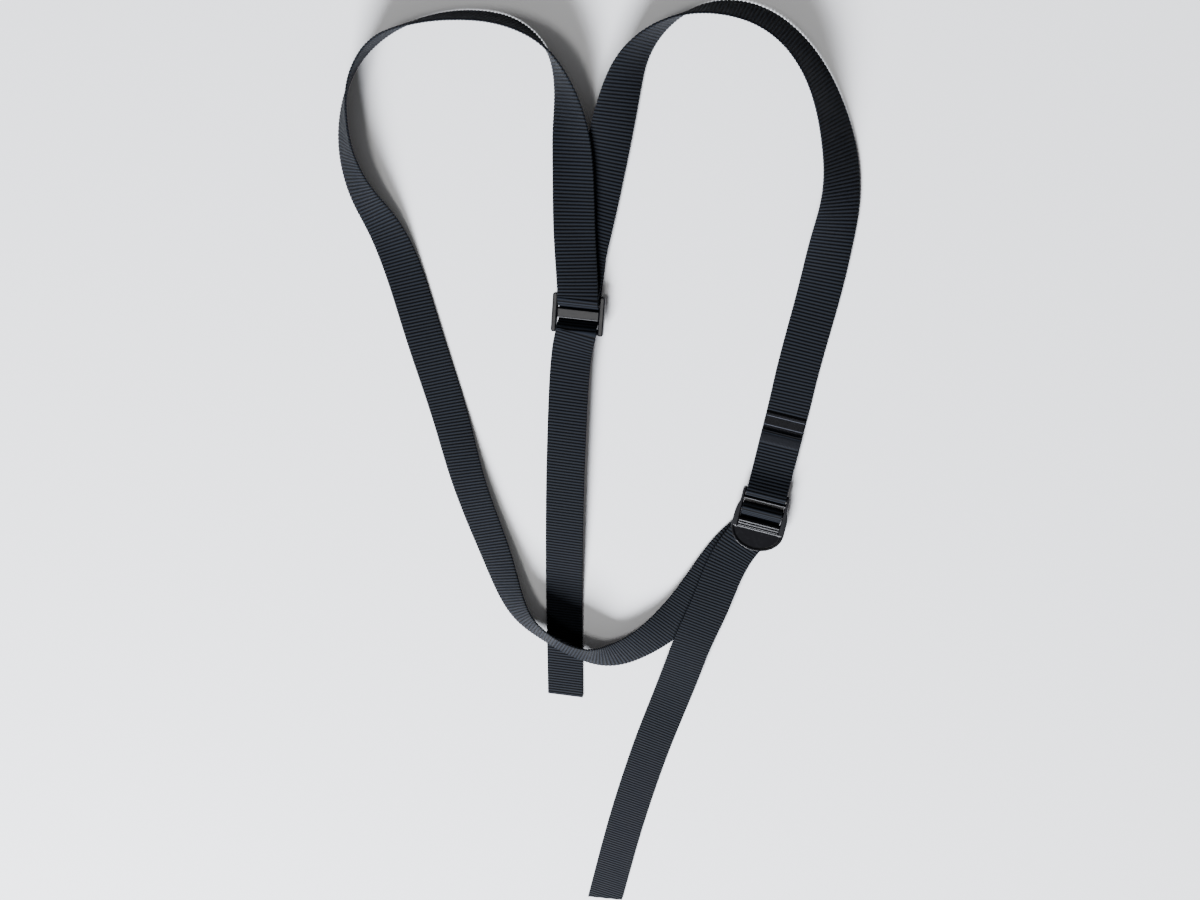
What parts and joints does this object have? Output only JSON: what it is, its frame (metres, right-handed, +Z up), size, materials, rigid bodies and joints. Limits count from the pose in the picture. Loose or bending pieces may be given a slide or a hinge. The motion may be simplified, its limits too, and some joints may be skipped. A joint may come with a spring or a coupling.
{
  "type": "climbing chest harness",
  "caption": "Climbing chest harness of flat black webbing laid out with two shoulder loops, a three-bar slider and a ladder-lock buckle.",
  "frame": {"origin": "on the table under the middle of the laid-out harness", "axes": "+X to the right of the laid-out harness, +Y towards its shoulder loops, +Z up"},
  "size_m": [0.3094, 0.6304, 0.0254],
  "materials": {
    "webbing": "ribbed flat-woven polyamide webbing, near-black",
    "buckle_plastic": "moulded acetal, black, satin gloss",
    "label_weave": "fine woven damask label, black"
  },
  "bodies": {
    "root": {"long_strap": "webbing", "short_strap": "webbing", "slider": "buckle_plastic", "ladder_lock": "buckle_plastic", "label": "label_weave"}
  },
  "joints": []
}
